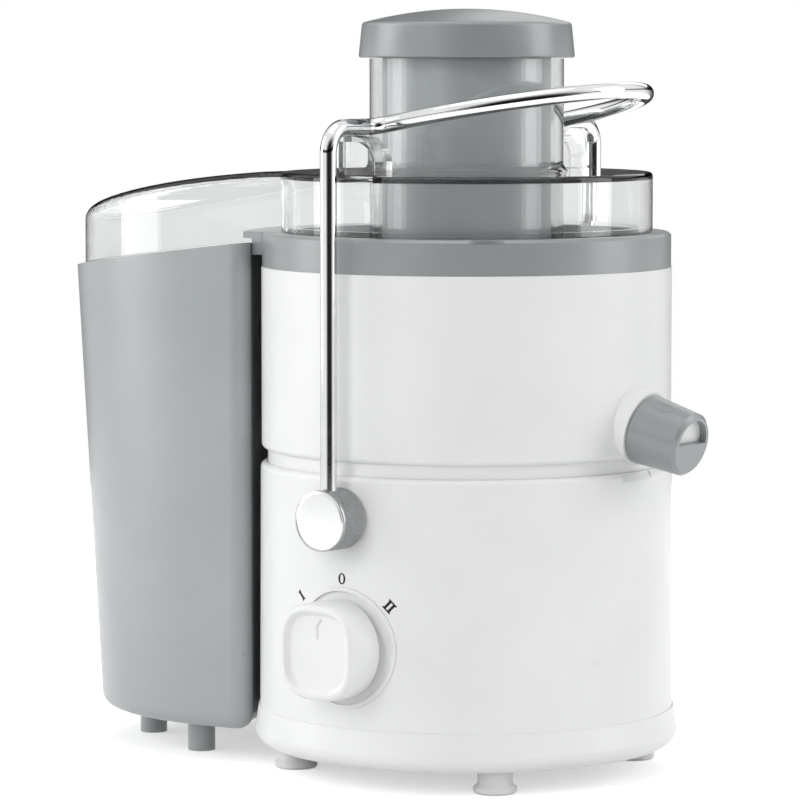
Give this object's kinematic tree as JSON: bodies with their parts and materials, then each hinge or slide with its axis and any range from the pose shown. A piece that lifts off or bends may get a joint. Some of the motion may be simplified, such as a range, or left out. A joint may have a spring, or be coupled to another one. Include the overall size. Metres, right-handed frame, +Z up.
{
  "type": "centrifugal juicer",
  "caption": "Compact centrifugal juicer with a round motor base, juice bowl with drip-stop spout, clear lid with feed chute and pusher, oval pulp container and swing-over locking bail.",
  "frame": {"origin": "on the spindle's axis at the level of the table, under the middle of the motor housing", "axes": "+Z up along the spindle, +X along the juice spout, -X towards the pulp container, -Y towards the speed knob (the front)"},
  "size_m": [0.2755, 0.1827, 0.2808],
  "materials": {
    "white_plastic": "smooth, slightly glossy white",
    "grey_plastic": "cool light grey, satin",
    "clear_plastic": "clear, polished",
    "chrome": "polished",
    "rubber_white": "soft, matt, off-white",
    "rubber_black": "soft, matt",
    "zinc_steel": "bright zinc plate",
    "stainless": "stainless sheet",
    "motor_steel": "laminated, lacquered",
    "copper": "enamelled wire",
    "brass": "plain",
    "black_plastic": "fine matt",
    "carbon": "graphite"
  },
  "bodies": {
    "housing": {"base_pan": "white_plastic", "foot_1": "rubber_white", "foot_2": "rubber_white", "foot_3": "rubber_white", "foot_4": "rubber_white", "base_screws": "zinc_steel", "motor_housing": "white_plastic", "motor_stator": "motor_steel", "field_coils": "copper", "motor_lower_bracket": "motor_steel", "motor_upper_bracket": "motor_steel", "motor_bolts": "zinc_steel", "motor_mount_dampers": "rubber_black", "motor_mount_screws": "zinc_steel", "lower_bearing": "zinc_steel", "upper_bearing": "zinc_steel", "shaft_seal": "rubber_black", "brush_holders": "brass", "carbon_brushes": "carbon", "juice_bowl": "white_plastic", "juice_spout": "white_plastic", "spout_seal": "rubber_white", "pulp_collar": "grey_plastic", "lid": "clear_plastic", "pulp_container": "grey_plastic", "interlock_switch": "black_plastic", "knob_bezel": "white_plastic", "rotary_switch": "black_plastic", "cord_gland": "black_plastic", "gland_nut": "black_plastic", "terminal_block": "black_plastic"},
    "rotor": {"motor_shaft": "zinc_steel", "armature_core": "motor_steel", "armature_windings": "copper", "commutator": "brass", "cooling_fan": "black_plastic", "drive_coupling": "black_plastic", "basket_hub": "black_plastic", "filter_basket": "stainless", "grater_disc": "stainless", "basket_rim": "black_plastic"},
    "pusher": {"pusher": "grey_plastic", "pusher_cap": "grey_plastic"},
    "bail": {"bail_rod": "chrome", "pivot_cap_front": "chrome", "pivot_cap_rear": "chrome", "pivot_pin_front": "zinc_steel", "pivot_pin_rear": "zinc_steel"},
    "knob": {"speed_knob": "white_plastic", "knob_shaft": "black_plastic"},
    "drip_stop": {"drip_stop_cap": "grey_plastic"},
    "plunger": {"interlock_plunger": "black_plastic"}
  },
  "joints": [
    {"name": "rotor_spin", "type": "hinge", "parent": "housing", "child": "rotor", "pos_m": [0, 0, 0.05], "axis": [0, 0, 1], "continuous": true},
    {"name": "pusher_slide", "type": "slide", "parent": "housing", "child": "pusher", "axis": [0, 0, 1], "range_m": [0, 0.11]},
    {"name": "bail_swing", "type": "hinge", "parent": "housing", "child": "bail", "pos_m": [0, 0, 0.0989], "axis": [0, 1, 0], "range_deg": [0, 95]},
    {"name": "knob_turn", "type": "hinge", "parent": "housing", "child": "knob", "pos_m": [0, -0.08, 0.052], "axis": [0, -1, 0], "range_deg": [-45, 45]},
    {"name": "drip_stop_turn", "type": "hinge", "parent": "housing", "child": "drip_stop", "pos_m": [0.079, 0, 0.1296], "axis": [0.9703, 0, -0.2419], "range_deg": [0, 180]},
    {"name": "plunger_slide", "type": "slide", "parent": "housing", "child": "plunger", "axis": [0, 0, 1], "range_m": [0, 0.00125]}
  ],
  "couplings": [
    {"joint": "plunger_slide", "follows": "bail_swing", "m_per_rad": 0.000724}
  ]
}
